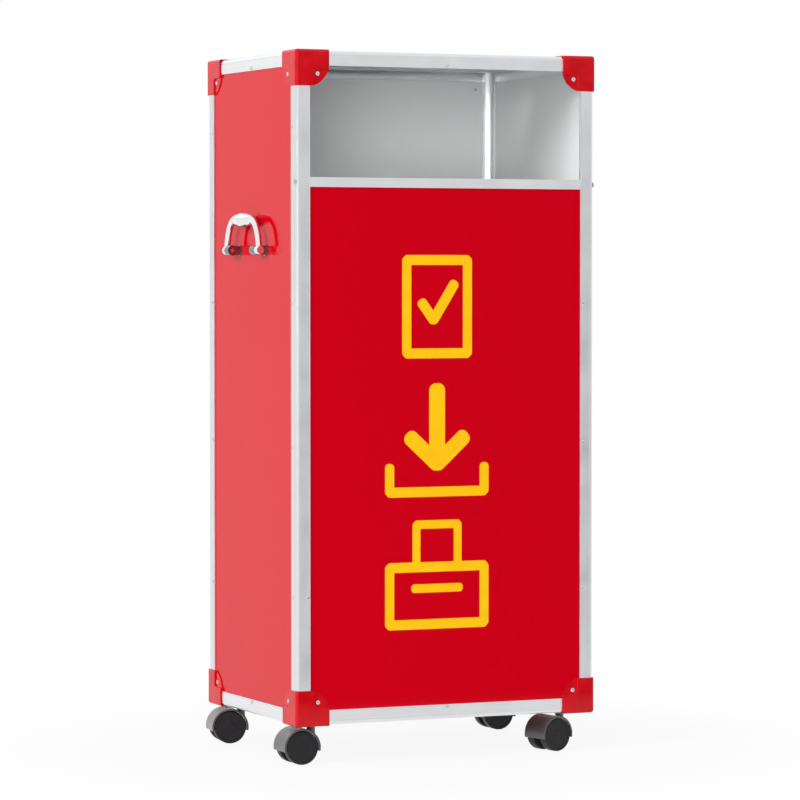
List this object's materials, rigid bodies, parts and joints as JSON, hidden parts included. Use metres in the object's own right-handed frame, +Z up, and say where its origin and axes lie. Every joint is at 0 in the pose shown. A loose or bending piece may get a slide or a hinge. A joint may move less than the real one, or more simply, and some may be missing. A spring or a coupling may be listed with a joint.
{
  "type": "ballot box",
  "caption": "Floor-standing ballot box: aluminium frame, gloss red panels, clear front window, slot in the top, locked back door, swinging side handles and swivel casters.",
  "frame": {"origin": "on the floor, under the middle of the box", "axes": "+X to the right along the front, +Y from front to back, +Z up"},
  "size_m": [0.54, 0.3687, 1.062],
  "materials": {
    "frame_aluminium": "natural anodised extrusion",
    "red_composite": "gloss coil coating",
    "clear_acrylic": "clear cast acrylic",
    "corner_plastic": "gloss moulded",
    "rivet_aluminium": "bright",
    "zinc_steel": "bright zinc plate",
    "bright_chrome": "polished chrome plate",
    "black_nylon": "moulded, satin",
    "black_wheel": "moulded, satin"
  },
  "bodies": {
    "cabinet": {"post_front_left": "frame_aluminium", "post_front_right": "frame_aluminium", "post_rear_left": "frame_aluminium", "post_rear_right": "frame_aluminium", "rail_top_front": "frame_aluminium", "rail_top_rear": "frame_aluminium", "rail_top_left": "frame_aluminium", "rail_top_right": "frame_aluminium", "rail_bottom_front": "frame_aluminium", "rail_bottom_rear": "frame_aluminium", "rail_bottom_left": "frame_aluminium", "rail_bottom_right": "frame_aluminium", "crossbar": "frame_aluminium", "crossbar_screws": "zinc_steel", "blind_rivets": "rivet_aluminium", "corner_top_front_left": "corner_plastic", "corner_top_front_right": "corner_plastic", "corner_top_rear_left": "corner_plastic", "corner_top_rear_right": "corner_plastic", "corner_bottom_front_left": "corner_plastic", "corner_bottom_front_right": "corner_plastic", "corner_bottom_rear_left": "corner_plastic", "corner_bottom_rear_right": "corner_plastic", "front_panel": "red_composite", "window_pane": "clear_acrylic", "left_panel": "red_composite", "right_panel": "red_composite", "rear_panel": "red_composite", "top_panel": "red_composite", "base_panel": "red_composite", "hinge_frame_leaves": "zinc_steel", "hinge_pins": "zinc_steel", "handle_posts": "bright_chrome", "caster_stems": "zinc_steel", "caster_nuts": "zinc_steel"},
    "door": {"door_panel": "red_composite", "door_edging": "frame_aluminium", "hinge_door_leaves": "zinc_steel", "lock_body": "bright_chrome", "lock_nut": "zinc_steel"},
    "lock_core": {"lock_plug": "bright_chrome", "lock_cam": "zinc_steel"},
    "handle_left": {"handle_bail_left": "bright_chrome"},
    "handle_right": {"handle_bail_right": "bright_chrome"},
    "fork_front_left": {"caster_fork_front_left": "black_nylon", "caster_axle_front_left": "zinc_steel"},
    "wheel_front_left_a": {"wheel_front_left_a": "black_wheel"},
    "wheel_front_left_b": {"wheel_front_left_b": "black_wheel"},
    "fork_front_right": {"caster_fork_front_right": "black_nylon", "caster_axle_front_right": "zinc_steel"},
    "wheel_front_right_a": {"wheel_front_right_a": "black_wheel"},
    "wheel_front_right_b": {"wheel_front_right_b": "black_wheel"},
    "fork_rear_left": {"caster_fork_rear_left": "black_nylon", "caster_axle_rear_left": "zinc_steel"},
    "wheel_rear_left_a": {"wheel_rear_left_a": "black_wheel"},
    "wheel_rear_left_b": {"wheel_rear_left_b": "black_wheel"},
    "fork_rear_right": {"caster_fork_rear_right": "black_nylon", "caster_axle_rear_right": "zinc_steel"},
    "wheel_rear_right_a": {"wheel_rear_right_a": "black_wheel"},
    "wheel_rear_right_b": {"wheel_rear_right_b": "black_wheel"}
  },
  "joints": [
    {"name": "door_swing", "type": "hinge", "parent": "cabinet", "child": "door", "pos_m": [0.2225, 0.1835, 0.42], "axis": [0, 0, -1], "range_deg": [0, 170]},
    {"name": "lock_turn", "type": "hinge", "parent": "door", "child": "lock_core", "pos_m": [-0.1375, 0.18, 0.42], "axis": [0, 1, 0], "range_deg": [0, 90]},
    {"name": "handle_left_swing", "type": "hinge", "parent": "cabinet", "child": "handle_left", "pos_m": [-0.2585, 0, 0.766], "axis": [0, -1, 0], "range_deg": [0, 180]},
    {"name": "handle_right_swing", "type": "hinge", "parent": "cabinet", "child": "handle_right", "pos_m": [0.2585, 0, 0.766], "axis": [0, 1, 0], "range_deg": [0, 180]},
    {"name": "swivel_front_left", "type": "hinge", "parent": "cabinet", "child": "fork_front_left", "pos_m": [-0.207, -0.142, 0.045], "axis": [0, 0, 1], "continuous": true},
    {"name": "roll_front_left_a", "type": "hinge", "parent": "fork_front_left", "child": "wheel_front_left_a", "pos_m": [-0.229, -0.142, 0.025], "axis": [0, -1, 0], "continuous": true},
    {"name": "roll_front_left_b", "type": "hinge", "parent": "fork_front_left", "child": "wheel_front_left_b", "pos_m": [-0.229, -0.142, 0.025], "axis": [0, -1, 0], "continuous": true},
    {"name": "swivel_front_right", "type": "hinge", "parent": "cabinet", "child": "fork_front_right", "pos_m": [0.207, -0.142, 0.045], "axis": [0, 0, 1], "continuous": true},
    {"name": "roll_front_right_a", "type": "hinge", "parent": "fork_front_right", "child": "wheel_front_right_a", "pos_m": [0.18575, -0.14769, 0.025], "axis": [0.2588, -0.9659, 0], "continuous": true},
    {"name": "roll_front_right_b", "type": "hinge", "parent": "fork_front_right", "child": "wheel_front_right_b", "pos_m": [0.18575, -0.14769, 0.025], "axis": [0.2588, -0.9659, 0], "continuous": true},
    {"name": "swivel_rear_left", "type": "hinge", "parent": "cabinet", "child": "fork_rear_left", "pos_m": [-0.207, 0.142, 0.045], "axis": [0, 0, 1], "continuous": true},
    {"name": "roll_rear_left_a", "type": "hinge", "parent": "fork_rear_left", "child": "wheel_rear_left_a", "pos_m": [-0.22879, 0.14506, 0.025], "axis": [-0.1392, -0.9903, 0], "continuous": true},
    {"name": "roll_rear_left_b", "type": "hinge", "parent": "fork_rear_left", "child": "wheel_rear_left_b", "pos_m": [-0.22879, 0.14506, 0.025], "axis": [-0.1392, -0.9903, 0], "continuous": true},
    {"name": "swivel_rear_right", "type": "hinge", "parent": "cabinet", "child": "fork_rear_right", "pos_m": [0.207, 0.142, 0.045], "axis": [0, 0, 1], "continuous": true},
    {"name": "roll_rear_right_a", "type": "hinge", "parent": "fork_rear_right", "child": "wheel_rear_right_a", "pos_m": [0.229, 0.142, 0.025], "axis": [0, 1, 0], "continuous": true},
    {"name": "roll_rear_right_b", "type": "hinge", "parent": "fork_rear_right", "child": "wheel_rear_right_b", "pos_m": [0.229, 0.142, 0.025], "axis": [0, 1, 0], "continuous": true}
  ]
}
